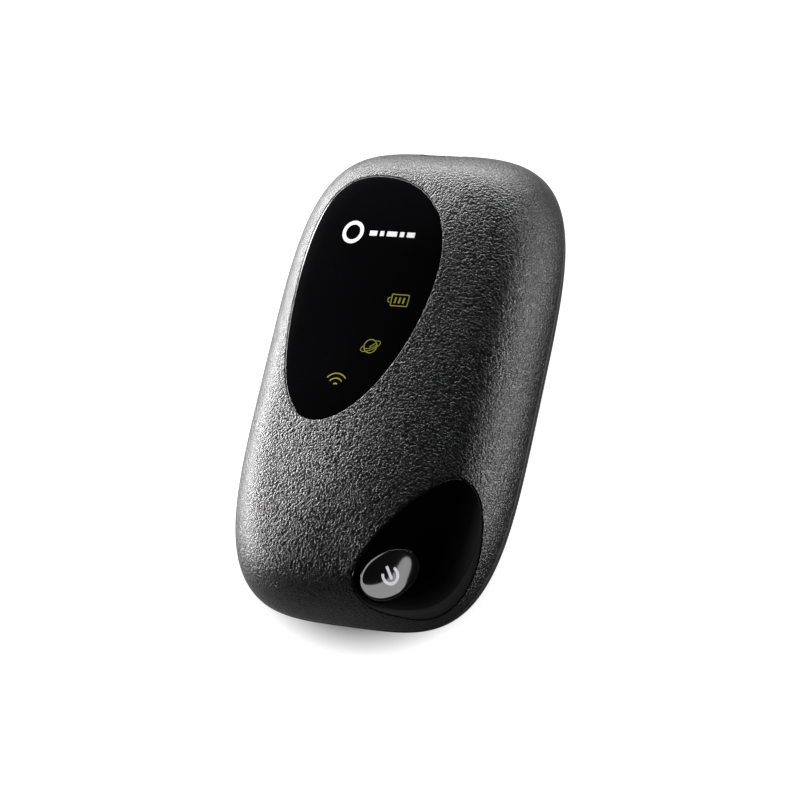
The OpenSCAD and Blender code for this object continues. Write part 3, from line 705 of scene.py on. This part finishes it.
def prism(name, profile, start, stop, axis):
    """A closed bar with a flat profile, from one place to another along X, Y or Z."""
    order = {"X": (2, 0, 1), "Y": (0, 2, 1), "Z": (0, 1, 2)}[axis]
    points = [np.array((*p, d))[list(order)] for d in (start, stop) for p in profile]
    count = len(profile)
    faces = ring_faces(count, 0, count) + [tuple(range(count)), tuple(range(count, 2 * count))]
    return mesh_object(name, points, faces)


PORT_WIDTH = 8.8
PORT_HEIGHT = 3.7
PORT_CORNER = 1.0
usb_low, usb_high = (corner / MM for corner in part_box("usb_shell"))
PORT_Z = (usb_low.z + usb_high.z) / 2
port = rounded_slot(PORT_WIDTH, PORT_HEIGHT, PORT_CORNER) + (0, PORT_Z)
combine(front_cover, prism("port", port, HALF_L - 7, HALF_L + 2, "Y"))
finish_normals(front_cover, merge=False)
print("front shell closed:", is_closed(front_cover))
hand_over(front_cover, cover_finish, "device", "textured_cover", "front_cover")

# %% [markdown]
# ## The window and the button panel
# Both are sheets of black acrylic, a millimetre thick, that sit in the pockets on adhesive. They
# follow the dome, and their rounded top edges catch the light as a fine bright line. The panel has
# a hole for the button, so it is made of rings that run from its outline to the hole.

# %% Window and panel
GLOSS_T = 1.0
GLOSS_GAP = 0.12
PROUD = 0.02
GLOSS_ROUND = 0.14
window = plan_solid("lamp_window", inward(window_edge, GLOSS_GAP), dome_down(PROUD),
                    dome_down(GLOSS_T), edge_round(GLOSS_ROUND), rows=34)
hand_over(window, window_finish, "device", "gloss_black", "display_window")
panel = holed_solid("corner_panel", inward(panel_edge, GLOSS_GAP), button_edge(BUTTON_GAP),
                    dome_down(PROUD), dome_down(GLOSS_T), GLOSS_ROUND)
hand_over(panel, window_finish, "device", "gloss_black", "button_panel")

# %% [markdown]
# ## The power button
# The button is a short oval column. Its face follows the dome at the rim and then sinks into a
# smooth dish that guides a thumb, and the dish mirrors a lamp as a bright crescent. The dish is a
# rounded bowl, deepest in the middle and worked out in the oval's own directions.

# %% Button
DISH_DEPTH = 0.6
DISH_RIM = 0.42


def dish(flat):
    """Depth of the dish below the dome."""
    turned = (flat - BUTTON_AT) @ np.array(((math.cos(BUTTON_TURN), -math.sin(BUTTON_TURN)),
                                            (math.sin(BUTTON_TURN), math.cos(BUTTON_TURN))))
    reach = np.sum((turned / (BUTTON_HALF - DISH_RIM)) ** 2, axis=1)
    return DISH_DEPTH * np.clip(1 - reach, 0, 1) ** 1.15


def dished(drop):
    return lambda flat: dome(flat[:, 0], flat[:, 1]) - drop - dish(flat)


button = plan_solid("power_button_cap", button_edge(0.0), dished(PROUD), level(BUTTON_LOW),
                    edge_round(0.16), rows=44, low_rows=1)
hand_over(button, button_finish, "power_key", "button_gloss", "power_button")

# %% [markdown]
# ## Printed marks
# The marks are thin prints: lamp symbols in yellow-green, a plain white device mark and the power
# symbol. Each is a stroke, a strip of small width along a path, laid on the surface and closed all
# round. The device mark is only a ring and a row of bars, because a part for everyone carries no
# maker's name.

# %% Strokes
def arc(centre, radius, start, stop, steps=24, squash=1.0, turn=0.0):
    """Points along an arc, in degrees, that may be squashed and turned."""
    a = np.radians(np.linspace(start, stop, steps + 1))
    points = np.column_stack([radius * np.cos(a), radius * squash * np.sin(a)])
    c, s = math.cos(math.radians(turn)), math.sin(math.radians(turn))
    return points @ np.array(((c, s), (-s, c))) + centre


def resample(path, spacing):
    along = np.concatenate([[0], np.cumsum(np.linalg.norm(np.diff(path, axis=0), axis=1))])
    at = np.linspace(0, along[-1], max(2, int(along[-1] / spacing) + 1))
    return np.column_stack([np.interp(at, along, path[:, k]) for k in (0, 1)])


def stroke(path, width, closed=False):
    """The outline in plan of a stroke: two rows of points, left and right of a path."""
    path = resample(np.asarray(path, float), 0.2)
    if closed:
        path = path[:-1]
        ahead = np.roll(path, -1, axis=0) - np.roll(path, 1, axis=0)
    else:
        ahead = np.gradient(path, axis=0)
    ahead /= np.linalg.norm(ahead, axis=1)[:, None]
    side = np.column_stack([-ahead[:, 1], ahead[:, 0]]) * width / 2
    if not closed:
        tips = np.array([(-0.5, 0.45), (-0.36, 0.8), (-0.15, 0.96)])
        for end, row, sign in ((0, 0, -1), (-1, len(path), 1)):
            grown = [path[end] + sign * ahead[end] * width * (0.5 + along) for along, _ in tips]
            sides = [side[end] * share for _, share in tips]
            if sign < 0:
                path = np.vstack([grown, path])
                side = np.vstack([sides, side])
                ahead = np.vstack([[ahead[0]] * 3, ahead])
            else:
                path = np.vstack([path, grown[::-1]])
                side = np.vstack([side, sides[::-1]])
    return path + side, path - side, closed


def print_marks(name, strokes, surface, over=0.012, under=0.02):
    """One mesh of closed thin strips, lying on a surface."""
    points, faces = [], []
    for left, right, closed in strokes:
        count, start = len(left), len(points)
        for flat, lift in ((left, over), (right, over), (right, -under), (left, -under)):
            points += list(np.column_stack([flat, surface(flat) + lift]))
        for i in range(count if closed else count - 1):
            j = (i + 1) % count
            for k in range(4):
                m = (k + 1) % 4
                faces.append((start + k * count + i, start + k * count + j,
                              start + m * count + j, start + m * count + i))
        if not closed:
            faces.append(tuple(start + k * count for k in range(4)))
            faces.append(tuple(start + k * count + count - 1 for k in reversed(range(4))))
    return mesh_object(name, points, faces)


# %% Print finishes, each with a painted glow
# The emission on each print is a painted glow, which makes the print brighter than the lamps light it.
lamp_print_painted_glow = plain_finish("lamp_symbol_print_painted_glow", (0.36, 0.37, 0.03), 0.35, 0.3, 0.004, emission=0.08)
white_print_painted_glow = plain_finish("white_print_painted_glow", (0.86, 0.86, 0.86), 0.4, 0.3, 0.004, emission=0.25)
grey_print_painted_glow = plain_finish("grey_print_painted_glow", (0.5, 0.5, 0.51), 0.4, 0.3, 0.004, emission=0.12)


# %% Lamp symbols
def along(*points):
    return np.array(points, float)


battery_mark = [stroke(along((0.75, 13.82), (4.25, 13.82), (4.15, 11.6), (0.75, 11.55),
                             (0.75, 13.82)), 0.2, closed=True),
                stroke(along((0.42, 13.15), (0.05, 13.0), (0.05, 12.35), (0.42, 12.2)), 0.2)]
battery_mark += [stroke(along((1.62 + x, 13.15), (1.5 + x, 12.2)), 0.36) for x in (0, 0.86, 1.72)]
INTERNET_AT = (-1.35, 3.3)
internet_mark = [stroke(arc(INTERNET_AT, 1.32, 0, 360), 0.18, closed=True),
                 stroke(arc(INTERNET_AT, 2.1, 120, 420, squash=0.36, turn=26), 0.14),
                 stroke(arc(INTERNET_AT, 1.25, 200, 335, squash=0.3, turn=20), 0.14),
                 stroke(along((-1.5, 3.15), (-0.45, 3.95)), 0.16)]
WIFI_AT = (-6.95, -5.05)
wifi_mark = [stroke(arc(WIFI_AT, radius, 42, 138), 0.24) for radius in (1.65, 2.6)]
wifi_mark += [stroke(arc(WIFI_AT, 0.62, 60, 120, 6), 0.3)]
marks = print_marks("lamp_symbols", battery_mark + internet_mark + wifi_mark, dome_down(PROUD))
hand_over(marks, lamp_print_painted_glow, "device", "lamp_yellow")

# %% Device mark and power symbol
MARK_AT = (-10.9, 26.0)
device_mark = [stroke(arc(MARK_AT, 1.95, 0, 360, 48), 0.8, closed=True)]
x = -7.3
for length in (1.9, 1.15, 2.4, 1.15, 1.9):
    device_mark.append(stroke(along((x + 0.5, 25.85), (x + length - 0.5 + 0.01, 25.85)), 1.05))
    x += length + 0.33
hand_over(print_marks("device_mark", device_mark, dome_down(PROUD)), white_print_painted_glow, "device",
          "label_white")
POWER_AT = (11.6, -38.75)
power_mark = [stroke(arc(POWER_AT, 1.45, 185, 420, 40), 0.54),
              stroke(along((10.87, -37.47), (11.82, -39.19)), 0.54)]
power_symbol = print_marks("power_symbol", power_mark, dished(PROUD))
hand_over(power_symbol, grey_print_painted_glow, "power_key", "label_white")

# %% [markdown]
# ## The back cover
# The back cover is a shallow tray that clips under the front cover. Its loft goes from the floor
# up the rounded outside, over the lip, down to the ledge inside and back to the floor. Clip tabs
# stand on the ledge at the flanks and ends, and a thumb nail fits the notch on the left flank.

# %% Loft the tray
BACK_RIM = SPLIT_Z - SEAM_GAP


def back_profile(depth, steps=30):
    """(inset, height) pairs down the back, for a surface that lies deeper by a depth."""
    a = np.linspace(0, np.pi / 2, steps + 1)
    return list(zip(depth + BACK_RUN * (1 - np.maximum(np.cos(a), 0) ** (2 / BACK_POWER)),
                    SPLIT_Z - (SPLIT_Z - depth) * np.sin(a) ** (2 / BACK_POWER)))


LEDGE_IN = 2.95
LEDGE_Z = SPLIT_Z - 1.2
ridge = HALF_W - 0.08
outside = [pair for pair in back_profile(0.0) if pair[1] < BACK_RIM - 0.2][::-1]
inside_wall = [pair for pair in back_profile(BACK_WALL) if pair[0] > LEDGE_IN]
rim = [(0.16 * (1 - math.sin(a)) + 0.01, BACK_RIM - 0.16 * (1 - math.cos(a)))
       for a in np.linspace(np.pi / 2, 0, 6)]
profile = [(ridge, 0.0), (20.0, 0.0), (10.0, 0.0)] + outside + rim
profile += [(BACK_WALL, BACK_RIM), (BACK_WALL, LEDGE_Z), (LEDGE_IN, LEDGE_Z)]
profile += inside_wall + [(12.0, BACK_WALL), (20.0, BACK_WALL), (ridge, BACK_WALL)]
back_cover = lofted_shell("back_tray", profile)
print("back tray closed:", is_closed(back_cover))

# %% Add its clip tabs and cut the notch
CLIP_IN = FRONT_WALL + 0.15
CLIP_T = 0.8
CLIP_TOP = SPLIT_Z + 1.0


def clip_tab(side, place, width=8.0):
    """A tab that follows the outline, with a sloped lead at its top."""
    across = np.linspace(-width / 2, width / 2, 17) + place
    rows = []
    for inset, z in ((CLIP_IN, LEDGE_Z - 0.4), (CLIP_IN, CLIP_TOP - 0.35),
                     (CLIP_IN + 0.3, CLIP_TOP), (CLIP_IN + CLIP_T, CLIP_TOP),
                     (CLIP_IN + CLIP_T, LEDGE_Z - 0.4)):
        if abs(side[0]) > 0:
            reach = (HALF_W - inset) * (1 - np.abs(across / (HALF_L - inset)) ** OUTLINE_POWER) \
                ** (1 / OUTLINE_POWER)
            rows.append(np.column_stack([side[0] * reach, across, np.full(17, z)]))
        else:
            reach = (HALF_L - inset) * (1 - np.abs(across / (HALF_W - inset)) ** OUTLINE_POWER) \
                ** (1 / OUTLINE_POWER)
            rows.append(np.column_stack([across, side[1] * reach, np.full(17, z)]))
    faces = [(k * 17 + i, k * 17 + i + 1, (k + 1) % 5 * 17 + i + 1, (k + 1) % 5 * 17 + i)
             for k in range(5) for i in range(16)]
    faces += [tuple(k * 17 for k in range(5)), tuple(k * 17 + 16 for k in reversed(range(5)))]
    return mesh_object("tab", np.vstack(rows), faces)


for side, place in (((1, 0), 14), ((1, 0), -22), ((-1, 0), 14), ((-1, 0), -22), ((0, 1), 0),
                    ((0, -1), 0)):
    combine(back_cover, clip_tab(side, place), "UNION")
notch = circle_edge((-HALF_W, SPLIT_Z), 0.9, 48)
combine(back_cover, prism("notch", notch, -4.5, 4.5, "Y"))
finish_normals(back_cover, merge=False)
print("back tray closed:", is_closed(back_cover))
hand_over(back_cover, back_finish, "cover", "smooth_back", "back_cover")

# %% [markdown]
# ## Screws and ribs
# Small pressed screws hold the frame to the front cover and the board to the frame. They are all
# alike, so a node tree makes one and sets it at each place, turned by its own angle as a driver
# leaves it. A second tree repeats one rib along the back cover's floor: a thin moulded wall needs
# them so that it doesn't drum. Each result becomes a plain mesh before it is handed over.

# %% Node tree helpers
def new_tree(name, inputs):
    """A geometry tree with named inputs, and the sockets to read them from and write to."""
    tree = bpy.data.node_groups.new(name, "GeometryNodeTree")
    tree.interface.new_socket("Geometry", in_out="OUTPUT", socket_type="NodeSocketGeometry")
    for label, kind in (("Geometry", "Geometry"), *inputs, ("Material", "Material")):
        tree.interface.new_socket(label, in_out="INPUT", socket_type="NodeSocket" + kind)
    return tree, tree.nodes.new("NodeGroupInput").outputs, tree.nodes.new("NodeGroupOutput").inputs


def maths(tree, operation, first, second):
    return add(tree, "ShaderNodeMath", {0: first, 1: second}, operation=operation).outputs[0]


def vector(tree, x, y, z):
    return add(tree, "ShaderNodeCombineXYZ", {"X": x, "Y": y, "Z": z}).outputs[0]


def end_tree(tree, geometry, given, made):
    """Realize the instances, set their material and give the result back."""
    real = add(tree, "GeometryNodeRealizeInstances", {"Geometry": geometry}).outputs[0]
    shown = add(tree, "GeometryNodeSetMaterial", {"Geometry": real, "Material": given["Material"]})
    tree.links.new(shown.outputs[0], made["Geometry"])


def grow(name, tree, points, values):
    """A plain mesh: what a tree makes of a few points with these input values."""
    seeds = bpy.data.meshes.new(name)
    seeds.from_pydata([tuple(c * MM for c in p) for p in points], [], [])
    piece = bpy.data.objects.new(name, seeds)
    bpy.context.collection.objects.link(piece)
    modifier = piece.modifiers.new("grow", "NODES")
    modifier.node_group = tree
    for socket in tree.interface.items_tree:
        if socket.in_out == "INPUT" and socket.name in values:
            modifier[socket.identifier] = values[socket.name]
    graph = bpy.context.evaluated_depsgraph_get()
    result = bpy.data.meshes.new_from_object(piece.evaluated_get(graph))
    piece.modifiers.clear()
    piece.data = result
    bpy.data.meshes.remove(seeds)
    finish_normals(piece, merge=False)
    print(name, "closed:", is_closed(piece))
    return piece


# %% The screw tree
screw_tree, given, made = new_tree("screws", [
    ("Head diameter", "Float"), ("Head height", "Float"), ("Shank diameter", "Float"),
    ("Shank length", "Float"), ("Facing", "Vector")])
head = add(screw_tree, "GeometryNodeMeshCylinder", {
    "Vertices": 40, "Radius": maths(screw_tree, "MULTIPLY", given["Head diameter"], 0.5),
    "Depth": given["Head height"]})
head = add(screw_tree, "GeometryNodeTransform", {"Geometry": head.outputs["Mesh"], "Translation": vector(
    screw_tree, 0.0, 0.0, maths(screw_tree, "MULTIPLY", given["Head height"], -0.5))})
whole = maths(screw_tree, "ADD", given["Shank length"], given["Head height"])
shank = add(screw_tree, "GeometryNodeMeshCylinder", {
    "Vertices": 32, "Radius": maths(screw_tree, "MULTIPLY", given["Shank diameter"], 0.5),
    "Depth": maths(screw_tree, "SUBTRACT", whole, 0.3 * MM)})
shank = add(screw_tree, "GeometryNodeTransform", {"Geometry": shank.outputs["Mesh"], "Translation": vector(
    screw_tree, 0.0, 0.0, maths(screw_tree, "ADD", maths(screw_tree, "MULTIPLY", whole, -0.5),
                                -0.15 * MM))})
body = add(screw_tree, "GeometryNodeMeshBoolean", operation="UNION", solver="MANIFOLD")
for part in (head, shank):
    screw_tree.links.new(part.outputs[0], body.inputs["Mesh 2"])
cross = add(screw_tree, "GeometryNodeMeshBoolean", {"Mesh 1": body.outputs["Mesh"]},
            operation="DIFFERENCE", solver="MANIFOLD")
arm_long = maths(screw_tree, "MULTIPLY", given["Head diameter"], 0.56)
arm_wide = maths(screw_tree, "MULTIPLY", given["Head diameter"], 0.13)
for size in ((arm_long, arm_wide), (arm_wide, arm_long)):
    arm = add(screw_tree, "GeometryNodeMeshCube", {
        "Size": vector(screw_tree, *size, given["Head height"])})
    screw_tree.links.new(arm.outputs["Mesh"], cross.inputs["Mesh 2"])
spin = add(screw_tree, "FunctionNodeRandomValue", {"Min": (0.0, 0.0, 0.0), "Max": (0.0, 0.0, 1.57),
                                                   "Seed": 7}, data_type="FLOAT_VECTOR")
screws = add(screw_tree, "GeometryNodeInstanceOnPoints", {
    "Points": given["Geometry"], "Instance": cross.outputs["Mesh"],
    "Rotation": spin.outputs["Value"], "Scale": given["Facing"]})
end_tree(screw_tree, screws.outputs[0], given, made)

# %% Set the screws
FRAME_SHANK = 4.5
BOARD_SHANK = 2.8
BOARD_SCREWS = [(18.5, 20.9), (-18.5, 20.9), (20.5, -22.0), (-20.5, -22.0)]
SCREW_SIZES = {"Head diameter": 3.2 * MM, "Head height": 0.9 * MM, "Shank diameter": 1.7 * MM,
               "Material": SLOT_FINISHES["screw_steel"]}
for name, places, z, shank_mm, facing in (
        ("frame_screw_set", SCREW_PLACES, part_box("frame_screws")[0].z / MM, FRAME_SHANK,
         (1, -1, -1)),
        ("board_screw_set", BOARD_SCREWS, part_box("board_screws")[1].z / MM, BOARD_SHANK,
         (1, 1, 1))):
    screw_set = grow(name, screw_tree, [(*place, z) for place in places],
                     SCREW_SIZES | {"Shank length": shank_mm * MM, "Facing": facing})
    hand_over(screw_set, SLOT_FINISHES["screw_steel"], "device", "screw_steel",
              name.replace("screw_set", "screws"))

# %% The rib tree and the back cover's ribs
rib_tree, given, made = new_tree("ribs", [("Rib length", "Float"), ("Rib width", "Float"),
                                          ("Rib height", "Float"), ("Spacing", "Float"),
                                          ("Count", "Int")])
line = add(rib_tree, "GeometryNodeMeshLine", {"Count": given["Count"], "Offset": vector(
    rib_tree, 0.0, given["Spacing"], 0.0)})
rib = add(rib_tree, "GeometryNodeMeshCube", {"Size": vector(
    rib_tree, given["Rib length"], given["Rib width"], given["Rib height"])})
row = add(rib_tree, "GeometryNodeInstanceOnPoints", {"Points": line.outputs["Mesh"],
                                                     "Instance": rib.outputs["Mesh"]})
rows = add(rib_tree, "GeometryNodeInstanceOnPoints", {"Points": given["Geometry"],
                                                      "Instance": row.outputs[0]})
end_tree(rib_tree, rows.outputs[0], given, made)
RIB_COUNT = 5
FIRST_RIB = (0.0, 23.0, 1.9)
ribs = grow("back_cover_ribs", rib_tree, [FIRST_RIB], {
    "Rib length": 35.0 * MM, "Rib width": 0.8 * MM, "Rib height": 1.4 * MM, "Spacing": 4.3 * MM,
    "Count": RIB_COUNT, "Material": back_finish})
hand_over(ribs, back_finish, "cover", "smooth_back")

# %% [markdown]
# ## The studio
# Two long soft boxes stand low on the left and behind, so that the flank and the top edge are
# bright while the face stays dark. A third, low on the right, lights the side wall. Flags keep it
# to the two covers, because the gloss panel would mirror it as a streak. A box above lights only
# the button, and its straight edge shows in the dish as the side of a crescent.

# %% Soft boxes
def soft_box(name, toward, distance, width, height, power, upward=(0, 0, 1), aim=(0, 0, 10)):
    """A rectangular lamp that faces a place, its height along an upward direction."""
    lamp = bpy.data.lights.new(name, "AREA")
    lamp.shape = "RECTANGLE"
    lamp.size, lamp.size_y = width, height
    lamp.energy = power
    light = bpy.data.objects.new(name, lamp)
    back = Vector(toward).normalized()
    side = Vector(upward).cross(back).normalized()
    place = Matrix.Identity(4)
    for column, axis in enumerate((side, back.cross(side), back)):
        place.col[column][:3] = axis
    place.translation = Vector(aim) * MM + back * distance
    light.matrix_world = place
    bpy.context.collection.objects.link(light)
    return light


soft_box("left_box", (-0.96, 0.27, 0.07), 0.9, 1.0, 0.22, 34)
soft_box("back_box", (-0.25, 0.95, 0.18), 0.9, 1.0, 0.26, 17)
right_box = soft_box("right_box", (0.96, 0.25, 0.04), 0.9, 0.6, 0.13, 11)

# %% Flags: what a lamp may light
def flag(light, *pieces):
    """Keeps a lamp's light to these pieces, as black flags round it would."""
    lit = bpy.data.collections.new("lit_by_" + light.name)
    for piece in pieces:
        lit.objects.link(piece)
    light.light_linking.receiver_collection = lit


flag(right_box, front_cover, back_cover)

# %% A flagged box for the button alone
near_edge = Vector((-0.25, -0.4, 0.88)).normalized()
across = Vector((-0.924, -0.199, -0.325))
across = (across - near_edge * across.dot(near_edge)).normalized()
half = math.radians(14)
button_box = soft_box("button_box", near_edge * math.cos(half) + across * math.sin(half), 0.9, 1.3,
                      2 * 0.9 * math.tan(half), 11.6, upward=across, aim=(*BUTTON_AT, 17))
flag(button_box, button, power_symbol)

# %% [markdown]
# ### Air and floor
# The world is only a gradient: pale at the horizon, dark overhead, and dimmer towards the near
# end. The floor is white paper that glows, so it stays white without an overhead lamp, which the
# gloss pieces would mirror. The glow is kept off the device, whose lower walls would pick it up.
# A soft dark patch is painted under the near end, because the glow washes out the real contact
# shadow. The paper lies a hair below the device, so that the two faces don't flicker.

# %% A studio that is pale near the floor and dark above
world = bpy.data.worlds.new("studio")
bpy.context.scene.world = world
world.use_nodes = True
sky = world.node_tree
direction = add(sky, "ShaderNodeTexCoord").outputs["Generated"]
split = add(sky, "ShaderNodeSeparateXYZ", {0: direction}).outputs
glow = ramp(sky, split["Z"], [(0.0, 0.5), (0.15, 0.3), (0.4, 0.06), (0.72, 0.008), (1.0, 0.004)])
far_end = add(sky, "ShaderNodeMapRange", {"Value": split["Y"], "From Min": -0.5, "From Max": 0.5,
                                          "To Min": 0.22, "To Max": 1.0}).outputs["Result"]
sky.links.new(glow, sky.nodes["Background"].inputs["Color"])
sky.links.new(far_end, sky.nodes["Background"].inputs["Strength"])
bpy.context.scene.view_settings.view_transform = "Standard"

FLOOR_HALF = 3000
FLOOR_Z = -0.05
floor = mesh_object("floor", [(x * FLOOR_HALF, y * FLOOR_HALF, FLOOR_Z)
                              for x, y in ((-1, -1), (1, -1), (1, 1), (-1, 1))], [(0, 1, 2, 3)])
paper = plain_finish("pale_floor", (0.7, 0.7, 0.7), 0.8, 40, 0.0, emission=1.0)
nodes = paper.node_tree.nodes
spot = add(paper.node_tree, "ShaderNodeMapping", {"Vector": object_coordinates(paper.node_tree),
                                                  "Location": (4.0 * MM, 28.0 * MM, 0.0)})
spot = add(paper.node_tree, "ShaderNodeVectorMath", {0: spot.outputs[0], 1: (24.0, 29.0, 0.0)},
           operation="MULTIPLY")
near = add(paper.node_tree, "ShaderNodeVectorMath", {0: spot.outputs[0]}, operation="LENGTH")
paper.node_tree.links.new(ramp(paper.node_tree, near.outputs["Value"], [(0.5, 0.05), (0.7, 0.97)]),
                          nodes["Principled BSDF"].inputs["Emission Color"])
floor.data.materials.append(paper)
flag(floor, floor)
